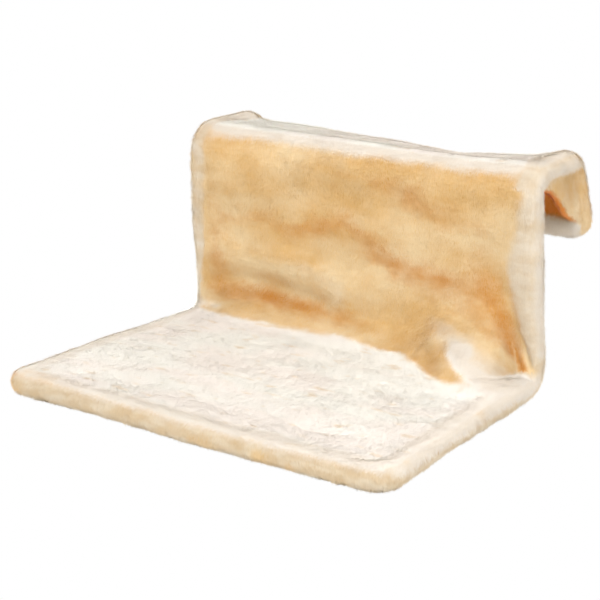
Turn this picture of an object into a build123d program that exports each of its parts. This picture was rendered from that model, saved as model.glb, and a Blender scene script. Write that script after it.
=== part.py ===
from build123d import *
import os
from math import cos, radians, sin

os.makedirs("parts", exist_ok=True)

# A cat bed that hangs over a radiator: a knock-down frame of bent steel tube inside a removable plush cover.
# Millimetres. +X to the right, +Y towards the radiator, +Z up. The origin is on the floor plane under
# the middle of the whole bed. A cat lies on the seat, with the back at its side.

# Overall form, on the centrelines of the tubes
seat_half_width = 211.0
back_half_width = 199.0
hook_half_width = 206.0
seat_depth = 290.0
back_height = 208.0
hook_depth = 96.0
hook_drop = 67.0
bend_radius = 20.0

# Tubes
tube_d = 12.0
hook_tube_d = 10.0
hook_wall = 1.0
slide_clearance = 0.08
hook_insertion = 42.0
hook_bend_gap = 1.0

# Joint between the seat tube and a side tube
joint_share = 0.45
spigot_length = 25.0
spigot_clearance = 0.05
swage_length = 3.0
spigot_wall = 0.9

# Fasteners
joint_screw_d = 4.0
joint_hole_d = 4.3
joint_head_d = 7.6
joint_head_height = 2.4
joint_nut_flats = 7.0
joint_nut_height = 3.2
screw_protrusion = 1.0
lock_screw_d = 5.0
lock_screw_length = 6.0
lock_hole_d = 5.4
lock_nut_flats = 8.0
lock_nut_height = 4.0
lock_from_mouth = 9.0
hex_key_flats = 2.5
hex_key_depth = 2.5
thread_clearance = 0.05
tip_clearance = 0.05

# Cover
plush_t = 7.7
lining_t = 1.5
cloth_gap = 0.3
rim_step = 0.8
rest_flat = 0.5
cloth_split = 22.0
lining_depth = 8.0
corner_pivot = 60.0
bridge_radius = 80.0
fold_lift = 12.0
seat_dip = 5.0
back_sag = 3.0
top_sag = 20.0
flap_sag = 14.0
inner_panel_t = 5.0

# Closure across the rear of the back
strip_t = 1.2
strip_height = 20.0
strip_half_length = 150.0
closure_base = 26.0
closure_margin = 5.0

# Worked out from the sizes above
tube_r = tube_d / 2
hook_tube_r = hook_tube_d / 2
tube_bore_r = hook_tube_r + slide_clearance
rim_r = tube_r + cloth_gap + plush_t
channel_r = tube_r + cloth_gap
hook_channel_r = hook_tube_r + cloth_gap
sheet_top = rim_r - rim_step
back_y = (seat_depth - hook_depth) / 2
front_y = back_y - seat_depth
hook_y = back_y + hook_depth
seat_z = rim_r - rest_flat
top_z = seat_z + back_height
hook_z = top_z - hook_drop
joint_y = back_y - joint_share * seat_depth
mouth_y = back_y + bend_radius + hook_bend_gap + hook_insertion
lock_y = mouth_y - lock_from_mouth
split_y = back_y + cloth_split
hook_split_y = hook_y - bend_radius - hook_bend_gap
lining_top = lining_t - lining_depth
joint_pocket_r = max(joint_head_d / 2, joint_nut_flats / 2 / cos(radians(30))) + cloth_gap
lock_pocket_r = lock_nut_flats / 2 / cos(radians(30)) + cloth_gap
loop_strip_y = back_y + lining_depth + cloth_gap
hook_strip_y = loop_strip_y + strip_t + cloth_gap
tab_depth = lining_depth + 2 * strip_t + 3 * cloth_gap + lining_t
strip_z = seat_z + closure_base + closure_margin
tab_end_z = strip_z + strip_height + closure_margin
corner_centre = (back_y - bend_radius, seat_z + bend_radius)
top_centre = (back_y + bend_radius, top_z - bend_radius)
hook_centre = (hook_y - bend_radius, top_z - bend_radius)
crossbar_drop = bend_radius * (1 - cos(radians(45)))
crossbar_y = back_y + crossbar_drop
crossbar_z = top_z - crossbar_drop
corner_edge_radius = bend_radius - tube_r
sides = (-1, 1)
mid_bend = 45

# Places across the cover where its height is set, as shares of the half width, with the shape of a plain
# hollow between the two sides, of the top's sag, and of the radius with which the cloth bridges the corner
across_shares = (-1.0, -0.62, -0.2, 0.12, 0.42, 0.6, 0.78, 0.92, 1.0)
hollow_shares = (0.0, 0.75, 1.0, 1.0, 0.9, 0.75, 0.5, 0.2, 0.0)
sag_shares = (0.0, 0.55, 0.75, 0.88, 1.0, 0.85, 0.55, 0.2, 0.0)
bridge_shares = (0.0, 0.33, 0.43, 0.55, 0.5, 0.75, 1.0, 0.7, 0.0)

# Sag of the top where it starts, half way and where it ends
top_sag_shares = (0.15, 0.62, 0.85)

# The rounded fold that runs from the back down to the seat's right side, by the angle of a ray from a pivot
# inside the corner
fold_shares = {
    0: (0.0, 0.0, 0.0, 0.0, 0.1, 0.5, 0.8, 0.2, 0.0),
    22.5: (0.0, 0.0, 0.0, 0.0, 0.3, 0.9, 0.5, 0.1, 0.0),
    45: (0.0, 0.0, 0.0, 0.0, 0.35, 0.9, 0.4, 0.0, 0.0),
    67.5: (0.0, 0.0, 0.0, 0.0, 0.4, 0.7, 0.2, 0.0, 0.0),
    90: (0.0, 0.0, 0.0, 0.0, 0.25, 0.3, 0.05, 0.0, 0.0),
}

# Stations of the sheets: along the seat's depth and up the back with their share of the hollow, round the
# corner behind the seat with their share of the tab's depth, and over the hook with their share of its sag.
# A sheet is smooth between two breaks.
seat_shares = ((1, 0), (0.9, 0.7), (0.55, 1), (0.35, 0.8))
back_shares = ((0.5, 1), (0.75, 0.7))
tab_shares = ((90, 0), (60, 0.3), (30, 0.7), (0, 1))
hook_sag_shares = ((mid_bend, 1), (0, 0.55))
plush_breaks = (4, 8, 11)
hook_breaks = (2,)
seat_lining_breaks = (1, 4)
back_lining_breaks = (1, 3)


def leg_half_width(z):
    """Half width between the tubes of the back at height z."""
    rise = min(max((z - seat_z) / back_height, 0), 1)
    return seat_half_width + (back_half_width - seat_half_width) * rise


def hook_leg_half_width(z):
    """Half width between the legs of the hook at height z."""
    fall = min(max((top_z - z) / hook_drop, 0), 1)
    return back_half_width + (hook_half_width - back_half_width) * fall


def side_path(side, front_end, rear_end):
    """Centreline of one side: from the seat up the back and rearwards along the top."""
    return FilletPolyline(
        (side * seat_half_width, front_end, seat_z),
        (side * seat_half_width, back_y, seat_z),
        (side * back_half_width, back_y, top_z),
        (side * back_half_width, rear_end, top_z),
        radius=bend_radius,
    )


def seat_path(rear_end):
    """Centreline of the seat's U, open to the rear."""
    return FilletPolyline(
        (-seat_half_width, rear_end, seat_z),
        (-seat_half_width, front_y, seat_z),
        (seat_half_width, front_y, seat_z),
        (seat_half_width, rear_end, seat_z),
        radius=bend_radius,
    )


def frame_path():
    """Centreline of the whole front part of the frame, from one cut in the cover's top to the other."""
    return FilletPolyline(
        (-back_half_width, split_y, top_z),
        (-back_half_width, back_y, top_z),
        (-seat_half_width, back_y, seat_z),
        (-seat_half_width, front_y, seat_z),
        (seat_half_width, front_y, seat_z),
        (seat_half_width, back_y, seat_z),
        (back_half_width, back_y, top_z),
        (back_half_width, split_y, top_z),
        radius=bend_radius,
    )


def hook_path(front_end):
    """Centreline of the hook: rearwards, down behind the radiator, across and back again."""
    return FilletPolyline(
        (-back_half_width, front_end, top_z),
        (-back_half_width, hook_y, top_z),
        (-hook_half_width, hook_y, hook_z),
        (hook_half_width, hook_y, hook_z),
        (back_half_width, hook_y, top_z),
        (back_half_width, front_end, top_z),
        radius=bend_radius,
    )


def rod(path, radius, bore=0):
    """A round bar along a path, or a tube if it has a bore."""
    face = Circle(radius) - Circle(bore) if bore else Circle(radius)
    start = Plane(origin=path @ 0, z_dir=path % 0)
    return sweep(start * face, path=path)


def bar_x(x_low, x_high, y, z, radius):
    """A round bar along X between two places."""
    return Plane(origin=(x_low, y, z), z_dir=(1, 0, 0)) * extrude(Circle(radius), x_high - x_low)


def hex_x(x_low, x_high, y, z, flats):
    """A hexagonal bar along X between two places."""
    hexagon = RegularPolygon(flats / 2, 6, major_radius=False)
    return Plane(origin=(x_low, y, z), z_dir=(1, 0, 0)) * extrude(hexagon, x_high - x_low)


# Frame


def seat_frame_tube():
    """A U of tube whose two ends are swaged down to plug into the side tubes."""
    path = seat_path(joint_y - swage_length)
    tube = rod(path, tube_r, tube_bore_r)
    plug_r = tube_bore_r - spigot_clearance
    for side in sides:
        end = Plane(origin=(side * seat_half_width, joint_y - swage_length, seat_z), z_dir=(0, 1, 0))
        cone = Cone(tube_r, plug_r, swage_length, align=(Align.CENTER, Align.CENTER, Align.MIN))
        throat = Cone(tube_bore_r, plug_r - spigot_wall, swage_length, align=(Align.CENTER, Align.CENTER, Align.MIN))
        plug = Pos(0, 0, swage_length) * extrude(Circle(plug_r) - Circle(plug_r - spigot_wall), spigot_length)
        tube += end * (cone - throat + plug)
    for side in sides:
        tube -= joint_hole(side)
    return tube


def joint_hole(side):
    """The cross hole through a seat joint."""
    x = side * seat_half_width
    return bar_x(x - tube_d, x + tube_d, joint_y + spigot_length / 2, seat_z, joint_hole_d / 2)


def side_tube(side):
    """One side of the frame: a short seat leg, the back, and the open top leg that takes the hook."""
    tube = rod(side_path(side, joint_y, mouth_y), tube_r, tube_bore_r) - joint_hole(side)
    inner_wall = sorted((side * (back_half_width - tube_d), side * back_half_width))
    return tube - bar_x(*inner_wall, lock_y, top_z, lock_hole_d / 2)


def crossbar_rod(radius):
    """A round bar along the crossbar's centreline."""
    return bar_x(-back_half_width, back_half_width, crossbar_y, crossbar_z, radius)


def top_crossbar():
    """The bar under the top front edge of the cover, coped to the bends of the side tubes."""
    bar = crossbar_rod(hook_tube_r) - crossbar_rod(hook_tube_r - hook_wall)
    for side in sides:
        bar -= rod(side_path(side, joint_y, mouth_y), tube_r)
    return bar


def hook_frame_tube():
    """The U behind the radiator. Its two arms slide in the top legs of the side tubes."""
    start = mouth_y - hook_insertion
    return rod(hook_path(start), hook_tube_r, hook_tube_r - hook_wall)


def seat_joint_screw(side):
    """A pan-head screw from outside through a seat joint."""
    y, x = joint_y + spigot_length / 2, seat_half_width
    head = bar_x(x + tube_r, x + tube_r + joint_head_height, y, seat_z, joint_head_d / 2)
    head = fillet(head.faces().sort_by(Axis.X)[-1].edges(), joint_head_height / 2)
    shank = bar_x(x - tube_r - joint_nut_height - screw_protrusion, x + tube_r, y, seat_z, joint_screw_d / 2)
    screw = head + shank
    return screw if side > 0 else mirror(screw, Plane.YZ)


def seat_joint_nut(side):
    """The nut on the inner side of a seat joint."""
    y, x = joint_y + spigot_length / 2, seat_half_width - tube_r
    nut = hex_x(x - joint_nut_height, x, y, seat_z, joint_nut_flats)
    nut -= bar_x(x - joint_nut_height, x, y, seat_z, joint_screw_d / 2 + thread_clearance)
    return nut if side > 0 else mirror(nut, Plane.YZ)


def hook_lock_screw(side):
    """A headless screw whose tip grips the hook's arm. It has a hexagon socket."""
    tip = back_half_width - hook_tube_r - tip_clearance
    back = tip - lock_screw_length
    screw = bar_x(back, tip, lock_y, top_z, lock_screw_d / 2)
    screw -= hex_x(back, back + hex_key_depth, lock_y, top_z, hex_key_flats)
    return screw if side > 0 else mirror(screw, Plane.YZ)


def hook_lock_nut(side):
    """The nut welded to the inner side of a top leg."""
    x = back_half_width - tube_r
    nut = hex_x(x - lock_nut_height, x, lock_y, top_z, lock_nut_flats)
    nut -= bar_x(x - lock_nut_height, x, lock_y, top_z, lock_screw_d / 2 + thread_clearance)
    return nut if side > 0 else mirror(nut, Plane.YZ)


# Cover. A sheet is a loft through sections that stand across the bed. Each section is set on a point of
# the frame's outline, faces outwards along a direction in the YZ plane, and has a height at each place across.


def bow(start, middle, end):
    """An arc through three points, or a line where they are in line."""
    bend = (middle[0] - start[0]) * (end[1] - start[1]) - (middle[1] - start[1]) * (end[0] - start[0])
    return ThreePointArc(start, middle, end) if abs(bend) > cloth_gap**2 else Line(start, end)


def edge_line(half_width, heights):
    """Bows across the bed, through the heights at the places across."""
    points = [(share * half_width, height) for share, height in zip(across_shares, heights)]
    return [bow(*points[i : i + 3]) for i in range(0, len(points) - 1, 2)]


def section(point, outward, half_width, low, high):
    """A closed section of a sheet between its low and high heights."""
    direction = Vector(0, *outward)
    plane = Plane(origin=(0, *point), x_dir=(1, 0, 0), z_dir=Vector(1, 0, 0).cross(direction))
    left, right = -half_width, half_width
    lower, upper = edge_line(half_width, low), edge_line(half_width, high)
    ends = [Line((left, low[0]), (left, high[0])), Line((right, low[-1]), (right, high[-1]))]
    return plane * make_face([*lower, *upper, *ends])


def heights(level, *terms):
    """Heights across the bed: a level plus each (size, shares) term."""
    return [level + sum(size * shares[i] for size, shares in terms) for i in range(len(across_shares))]


def sheet_sections(stations, thickness):
    """Sections of a sheet of even thickness from (point, outward, half width, upper heights) stations."""
    made = []
    for point, outward, half_width, high in stations:
        low = [height - thickness for height in high]
        made.append(section(point, outward, half_width, low, high))
    return made


def sheet(stations, thickness, breaks=()):
    """A sheet through its stations, drawn as one smooth span between each two breaks."""
    sections = sheet_sections(stations, thickness)
    ends = [0, *breaks, len(sections) - 1]
    spans = [loft(sections[first : last + 1]) for first, last in zip(ends, ends[1:])]
    return Part() + spans


def on_bend(centre, angle, side_y, side_z):
    """A point of a bend's centreline and the direction away from the bend's centre there."""
    away = (side_y * cos(radians(angle)), side_z * sin(radians(angle)))
    return (centre[0] + bend_radius * away[0], centre[1] + bend_radius * away[1]), away


def reversed_way(direction):
    """The opposite of a direction in the YZ plane."""
    return (-direction[0], -direction[1])


def corner_reach(angle, radius):
    """How far the pivot is from a corner of that radius between seat and back, along a ray at that angle."""
    span = corner_pivot - sheet_top
    ray = (-sin(radians(angle)), -cos(radians(angle)))
    offset = span - radius
    toward = offset * (ray[0] + ray[1])
    chord = max(toward**2 - 2 * offset**2 + radius**2, 0) ** 0.5
    curved = chord - toward
    in_bend = chord and max(span + curved * ray[0], span + curved * ray[1]) < radius
    return curved if in_bend else span / -min(ray)


def corner_station(angle):
    """A station on a ray from a pivot inside the inner corner, where the cloth bridges the corner."""
    ray = (sin(radians(angle)), -cos(radians(angle)))
    base = corner_reach(angle, corner_edge_radius) + sheet_top
    point = (back_y - corner_pivot + ray[0] * base, seat_z + corner_pivot + ray[1] * base)
    high = []
    for bridge_share, fold_share in zip(bridge_shares, fold_shares[angle]):
        radius = corner_edge_radius + (bridge_radius - corner_edge_radius) * bridge_share
        high.append(base - corner_reach(angle, radius) + fold_lift * fold_share)
    return point, reversed_way(ray), leg_half_width(point[1]), high


def top_station(y, sag_share):
    """A station across the top, where the cloth hangs between the two sides."""
    return (y, top_z), (0, 1), back_half_width, top_sag * sag_share


def hanging(stations):
    """Stations of the plush, from stations that give how far it hangs."""
    return [(point, out, width, heights(sheet_top, (-sag, sag_shares))) for point, out, width, sag in stations]


def under_hanging(stations):
    """Stations of the cloth below, which lies at the lining's level until the plush hangs down to it."""
    room = sheet_top - plush_t - lining_top - lining_t
    made = []
    for point, outward, half_width, sag in stations:
        made.append((point, outward, half_width, heights(lining_top, (-max(sag - room, 0), sag_shares))))
    return made


def plush_stations():
    """The plush from the front of the seat, over the inner corner, up the back and over the top front edge."""
    made = []
    for depth_share, dip_share in seat_shares:
        high = heights(sheet_top, (-seat_dip * dip_share, hollow_shares))
        made.append(((back_y - depth_share * seat_depth, seat_z), (0, 1), seat_half_width, high))
    made += [corner_station(angle) for angle in fold_shares]
    for height_share, sag_share in back_shares:
        z = seat_z + height_share * back_height
        high = heights(sheet_top, (-back_sag * sag_share, hollow_shares))
        made.append(((back_y, z), (-1, 0), leg_half_width(z), high))
    for angle in (0, mid_bend):
        point, away = on_bend(top_centre, angle, -1, 1)
        made.append((point, away, leg_half_width(point[1]), heights(sheet_top)))
    return made + hanging([top_station(split_y, top_sag_shares[0])])


def corner_waste(bend_centre):
    """What a sheet's square corner has outside a bend. The plane's X and Y point to the two tubes."""
    block_size = 2 * bend_radius
    block = Box(block_size, block_size, block_size, align=(Align.MIN, Align.MIN, Align.CENTER))
    return bend_centre * (block - Cylinder(bend_radius, block_size))


def floor_side():
    """The space below the floor plane, which flattens what rests on it."""
    size = 2 * (seat_depth + seat_half_width)
    return Box(size, size, rim_r, align=(Align.CENTER, Align.CENTER, Align.MAX))


def seat_back_plush():
    """The one length of plush that makes the seat, the inner corner, the back and its top front edge."""
    path = frame_path()
    cloth = sheet(plush_stations(), plush_t, plush_breaks) - rod(path, channel_r)
    for side in sides:
        centre = (side * (seat_half_width - bend_radius), front_y + bend_radius, seat_z)
        cloth -= corner_waste(Plane(origin=centre, x_dir=(side, 0, 0), z_dir=(0, 0, -side)))
    cloth += rod(path, rim_r, channel_r) - floor_side()
    cloth -= crossbar_rod(hook_tube_r + cloth_gap)
    reach = tube_r + joint_nut_height + screw_protrusion + cloth_gap
    for side in sides:
        x = side * seat_half_width
        cloth -= bar_x(x - reach, x + reach, joint_y + spigot_length / 2, seat_z, joint_pocket_r)
    return cloth


def within_rims(cloth, rims):
    """The part of a sheet that lies between the rims."""
    return max((cloth - rims).solids(), key=lambda solid: solid.volume)


def seat_lining():
    """The cloth under the seat. It turns up behind the corner and ends in the closure's tab."""
    flat = heights(lining_top)
    made = [((front_y, seat_z), (0, 1), seat_half_width, flat)]
    for angle, out_share in tab_shares:
        point, away = on_bend(corner_centre, angle, 1, -1)
        depth = heights(lining_top - out_share * (tab_depth - lining_depth))
        made.append((point, reversed_way(away), leg_half_width(point[1]), depth))
    tab = heights(lining_t - tab_depth)
    made.append(((back_y, tab_end_z), (-1, 0), leg_half_width(tab_end_z), tab))
    return within_rims(sheet(made, lining_t, seat_lining_breaks), rod(frame_path(), rim_r + cloth_gap))


def back_lining():
    """The cloth behind the back, from the closure up and over under the top."""
    flat, low_z = heights(lining_top), seat_z + closure_base
    made = [((back_y, low_z), (-1, 0), leg_half_width(low_z), flat)]
    for angle in (0, mid_bend, 90):
        point, away = on_bend(top_centre, angle, -1, 1)
        made.append((point, away, leg_half_width(point[1]), flat))
    made.append(((split_y, top_z), (0, 1), back_half_width, flat))
    return within_rims(sheet(made, lining_t, back_lining_breaks), rod(frame_path(), rim_r + cloth_gap))


def top_stations():
    """The plush between the top front edge and the hook."""
    rear = hook_split_y - cloth_gap
    places = (split_y, (split_y + rear) / 2, rear)
    return [top_station(y, share) for y, share in zip(places, top_sag_shares)]


def top_rods(radius, bore=0):
    """Straight bars or tubes round the two top legs, from one cut in the cover to the other."""
    face = Circle(radius) - Circle(bore) if bore else Circle(radius)
    length = hook_split_y - cloth_gap - split_y
    bar = Plane(origin=(0, split_y, top_z), z_dir=(0, 1, 0)) * extrude(face, length)
    return Part() + [Pos(side * back_half_width, 0, 0) * bar for side in sides]


def top_plush():
    """The plush over the radiator. It hangs between the top legs and draws flat as the hook slides out."""
    cloth = sheet(hanging(top_stations()), plush_t) - top_rods(channel_r) + top_rods(rim_r, channel_r)
    x = back_half_width - hook_tube_r - tip_clearance - lock_screw_length - cloth_gap
    for side in sides:
        pocket = sorted((side * x, side * back_half_width))
        cloth -= bar_x(*pocket, lock_y, top_z, lock_pocket_r)
    return cloth


def top_lining():
    """The cloth under the top, which lies on the radiator."""
    return within_rims(sheet(under_hanging(top_stations()), lining_t), top_rods(rim_r + cloth_gap))


def hook_stations():
    """The plush of the hook, from the top over its bend and down behind the radiator."""
    made = [top_station(hook_split_y, top_sag_shares[-1])]
    for angle, sag_share in hook_sag_shares:
        point, away = on_bend(hook_centre, angle, 1, 1)
        made.append((point, away, hook_leg_half_width(point[1]), flap_sag * sag_share))
    made.append(((hook_y, hook_z), (1, 0), hook_half_width, 0))
    return made


def flap_plush():
    """The plush behind the radiator, with its rolled rim round the hook's tube."""
    path = hook_path(hook_split_y)
    cloth = sheet(hanging(hook_stations()), plush_t, hook_breaks) - rod(path, hook_channel_r)
    for side in sides:
        centre = (side * (hook_half_width - bend_radius), hook_y, hook_z + bend_radius)
        cloth -= corner_waste(Plane(origin=centre, x_dir=(side, 0, 0), z_dir=(0, side, 0)))
    return cloth + rod(path, rim_r, hook_channel_r)


def flap_inner_panel():
    """The panel of the flap that faces the radiator."""
    rims = rod(hook_path(hook_split_y), rim_r + cloth_gap)
    return within_rims(sheet(under_hanging(hook_stations()), inner_panel_t, hook_breaks), rims)


def strip(y):
    """One half of the closure's tape, across the rear of the back."""
    tape = Box(2 * strip_half_length, strip_t, strip_height, align=(Align.CENTER, Align.MIN, Align.MIN))
    return Pos(0, y, strip_z) * tape


nodes = {
    "seat_frame_tube": seat_frame_tube(),
    "left_side_tube": side_tube(-1),
    "right_side_tube": side_tube(1),
    "top_crossbar": top_crossbar(),
    "hook_frame_tube": hook_frame_tube(),
    "seat_joint_screws": Compound([seat_joint_screw(side) for side in sides]),
    "seat_joint_nuts": Compound([seat_joint_nut(side) for side in sides]),
    "hook_lock_screws": Compound([hook_lock_screw(side) for side in sides]),
    "hook_lock_nuts": Compound([hook_lock_nut(side) for side in sides]),
    "seat_back_plush": seat_back_plush(),
    "seat_lining": seat_lining(),
    "back_lining": back_lining(),
    "top_plush": top_plush(),
    "top_lining": top_lining(),
    "flap_plush": flap_plush(),
    "flap_inner_panel": flap_inner_panel(),
    "closure_loop_strip": strip(loop_strip_y),
    "closure_hook_strip": strip(hook_strip_y),
}

for name, shape in nodes.items():
    export_step(shape, f"parts/{name}.step")
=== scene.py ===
from math import cos, pi, radians, sin, tan

import bpy
import numpy as np
from mathutils import Matrix, Vector
from numpy.linalg import norm


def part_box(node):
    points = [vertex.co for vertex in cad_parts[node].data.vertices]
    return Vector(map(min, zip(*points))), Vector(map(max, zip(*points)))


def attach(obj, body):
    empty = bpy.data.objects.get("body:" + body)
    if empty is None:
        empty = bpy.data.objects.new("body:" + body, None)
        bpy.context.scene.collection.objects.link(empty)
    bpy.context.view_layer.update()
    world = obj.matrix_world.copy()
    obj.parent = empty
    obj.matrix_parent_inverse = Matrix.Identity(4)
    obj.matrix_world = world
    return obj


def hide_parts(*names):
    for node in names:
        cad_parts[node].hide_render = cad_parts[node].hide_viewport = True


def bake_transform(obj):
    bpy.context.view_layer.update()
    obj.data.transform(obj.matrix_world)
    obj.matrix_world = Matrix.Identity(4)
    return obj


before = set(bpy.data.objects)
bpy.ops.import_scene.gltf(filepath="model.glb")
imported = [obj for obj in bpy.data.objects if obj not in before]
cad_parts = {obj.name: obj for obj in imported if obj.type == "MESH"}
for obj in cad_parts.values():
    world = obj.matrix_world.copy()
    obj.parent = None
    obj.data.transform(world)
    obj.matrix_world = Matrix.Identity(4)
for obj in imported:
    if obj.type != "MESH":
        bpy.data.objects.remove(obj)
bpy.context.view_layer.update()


# Measures, in metres, read from the frame

plushLow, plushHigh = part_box("seat_back_plush")
flapLow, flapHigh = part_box("flap_plush")
topLow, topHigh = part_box("top_plush")
seatTubeLow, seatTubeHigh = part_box("seat_frame_tube")
crossbarLow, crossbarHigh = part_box("top_crossbar")
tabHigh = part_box("seat_lining")[1]
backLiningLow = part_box("back_lining")[0]

bendRadius = 0.02
hookFlare = 0.007
tubeRadius = (seatTubeHigh.z - seatTubeLow.z) / 2
frontY = seatTubeLow.y + tubeRadius
rimRadius = frontY - plushLow.y
seatZ = (seatTubeLow.z + seatTubeHigh.z) / 2
seatHalf = plushHigh.x - rimRadius
topZ = plushHigh.z - rimRadius
backHalf = topHigh.x - rimRadius
backY = (crossbarLow.y + crossbarHigh.y) / 2 - bendRadius * (1 - cos(radians(45)))
hookY = flapHigh.y - rimRadius
hookZ = flapLow.z + rimRadius
hookHalf = backHalf + hookFlare


def newObject(name, data):
    made = bpy.data.objects.new(name, data)
    bpy.context.collection.objects.link(made)
    return made


# Camera at the photograph's place

camera = {"azimuth": 34.11, "elevation": 17.54, "distance": 1.632, "aimRight": -0.0595, "aimUp": 0.0454,
          "lens": 90.28, "sensor": 36.0}


def addCamera():
    azimuth, elevation = radians(camera["azimuth"]), radians(camera["elevation"])
    back = Vector((sin(azimuth) * cos(elevation), -cos(azimuth) * cos(elevation), sin(elevation)))
    right = Vector((cos(azimuth), sin(azimuth), 0))
    up = back.cross(right)
    aim = Vector((0, backY, seatZ)) + right * camera["aimRight"] + up * camera["aimUp"]
    data = bpy.data.cameras.new("photoCamera")
    data.lens, data.sensor_width = camera["lens"], camera["sensor"]
    made = newObject("photoCamera", data)
    turn = back.to_track_quat("Z", "Y")
    made.matrix_world = Matrix.LocRotScale(aim + back * camera["distance"], turn, None)
    bpy.context.scene.camera = made


# Node helpers. A Wire wraps a socket, so that maths on sockets reads like plain arithmetic

class Wire:
    def __init__(self, graph, socket):
        self.graph = graph
        self.socket = socket

    def __add__(self, other):
        return self.graph.maths("ADD", self, other)

    def __sub__(self, other):
        return self.graph.maths("SUBTRACT", self, other)

    def __rsub__(self, other):
        return self.graph.maths("SUBTRACT", other, self)

    def __mul__(self, other):
        return self.graph.maths("MULTIPLY", self, other)

    __radd__, __rmul__ = __add__, __mul__

    def out(self, name):
        return Wire(self.graph, self.socket.node.outputs[name])

    # 0 below low, 1 above high and smooth between
    def ramp(self, low, high):
        values = {"Value": self, "From Min": low, "From Max": high}
        return self.graph.node("ShaderNodeMapRange", values, interpolation_type="SMOOTHSTEP")

    # One colour where the value is 0 and another where it is 1
    def blend(self, first, second):
        values = {0: self, 6: first, 7: second}
        return self.graph.node("ShaderNodeMix", values, 2, data_type="RGBA")


class Graph:
    def __init__(self, tree):
        self.tree = tree
        tree.nodes.clear()

    def node(self, kind, values={}, out=0, **settings):
        made = self.tree.nodes.new(kind)
        for name, value in settings.items():
            setattr(made, name, value)
        for key, value in values.items():
            if isinstance(value, Wire):
                self.tree.links.new(value.socket, made.inputs[key])
            else:
                made.inputs[key].default_value = value
        return Wire(self, made.outputs[out]) if made.outputs else made

    def maths(self, operation, first, second):
        return self.node("ShaderNodeMath", {0: first, 1: second}, operation=operation)

    def attribute(self, name):
        return self.node("ShaderNodeAttribute", out="Fac", attribute_name=name)


# A colour of the photograph in the shader's linear light
def shade(red, green, blue):
    parts = [part / 255 for part in (red, green, blue)]
    return [part / 12.92 if part <= 0.04045 else ((part + 0.055) / 1.055) ** 2.4 for part in parts] + [1]


# A material named after the function that builds its surface
def newMaterial(build):
    material = bpy.data.materials.new(build.__name__)
    material.use_nodes = True
    graph = Graph(material.node_tree)
    surface = build(graph)
    graph.node("ShaderNodeOutputMaterial", {"Surface": surface})
    return material


# Noise of an object's own coordinates, stretched by a scale along each axis
def stretchedNoise(graph, scale, detail=3.0, roughness=0.55, shift=(0, 0, 0)):
    place = graph.node("ShaderNodeTexCoord", out="Object")
    mapped = graph.node("ShaderNodeMapping", {"Vector": place, "Location": shift, "Scale": scale})
    values = {"Vector": mapped, "Scale": 1.0, "Detail": detail, "Roughness": roughness}
    return graph.node("ShaderNodeTexNoise", values)


def surfaceOf(graph, colour, roughness, height=None, strength=0, distance=0, specular=0.5, **more):
    values = {"Base Color": colour, "Roughness": roughness, "Specular IOR Level": specular, **more}
    if height:
        bump = {"Height": height, "Strength": strength, "Distance": distance}
        values["Normal"] = graph.node("ShaderNodeBump", bump)
    return graph.node("ShaderNodeBsdfPrincipled", values)


# White to the camera, and something else to the light
def whiteToCamera(graph, other, white):
    seen = graph.node("ShaderNodeLightPath", out="Is Camera Ray")
    return graph.node("ShaderNodeMixShader", {0: seen, 1: other, 2: white})


# Plush, from tan to near white by painted light: paler where the surface faces up to the light and tan where
# it faces the camera, with the nap's noise mixed in. A depth above 0 is painted shade in hollows, creases and
# the recess, and below 0 a painted duller shade on the rims and the tent

# The two darkest oranges are painted shade in the hollows and the recess, the dull tone a painted shade on
# the rims, and the whites, pink and beige the pile where light is painted on
plushTones = {"paintedRecessShade": shade(252, 162, 74), "paintedShade": shade(219, 153, 74), "tan": shade(232, 193, 130),
              "cream": shade(246, 223, 180), "white": shade(255, 252, 245), "pink": shade(255, 249, 242),
              "beige": shade(244, 228, 204), "fawn": shade(229, 206, 168), "fawnLight": shade(238, 222, 194),
              "paintedDullShade": shade(243, 234, 221)}
plushNoise = {"patches": {"scale": (9, 20, 17), "detail": 2.0, "roughness": 0.5, "shift": (3, 7, 1)},
              "nap": {"scale": (34, 70, 55), "roughness": 0.6},
              "flecks": {"scale": (42, 95, 95), "detail": 2.0, "roughness": 0.45, "shift": (5, 2, 8)}}

# Where each tone begins and where it is full, by a noise, by the painted shade's depth or by the painted
# light
plushRamps = {"cream": (0.36, 0.68), "combed": (0.3, 0.7), "paintedShade": (0.0, 1.0), "paintedRecessShade": (1.0, 1.6),
              "fawnLight": (0.4, 0.65), "fawn": (-0.45, -0.85), "pink": (0.4, 0.62), "beige": (0.6, 0.76),
              "paintedDullShade": (0.0, -0.5), "lying": (0.08, 0.82)}
plushShares = {"patches": 0.75, "combed": 0.25, "beige": 0.7, "nap": 0.4}


def plushColour(graph):
    lie, depth = graph.attribute("lie"), graph.attribute("shadeDepth")
    patches, nap, flecks = [stretchedNoise(graph, **noise) for noise in plushNoise.values()]
    combed = nap.ramp(*plushRamps["combed"])

    def toned(value, name, first, second=None):
        return value.ramp(*plushRamps[name]).blend(first, second or plushTones[name])

    mixed = patches.ramp(*plushRamps["cream"]) * plushShares["patches"] + combed * plushShares["combed"]
    tanTone = mixed.blend(plushTones["tan"], plushTones["cream"])
    # Painted shade: deeper orange by depth in hollows, creases and the recess, and a dull fawn painted on the
    # rims
    tanTone = toned(depth + (0.5 - combed) * plushShares["combed"], "paintedShade", tanTone)
    tanTone = toned(depth, "paintedRecessShade", tanTone)
    tanTone = toned(depth, "fawn", tanTone, toned(flecks, "fawnLight", plushTones["fawn"]))
    # Painted light: the pale tones where the cloth faces up, painted duller on the rims
    lying = toned(patches, "pink", plushTones["white"])
    lying = (flecks.ramp(*plushRamps["beige"]) * plushShares["beige"]).blend(lying, plushTones["beige"])
    lying = toned(depth, "paintedDullShade", lying)
    return toned(lie + (nap - 0.5) * plushShares["nap"], "lying", tanTone, lying)


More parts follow.
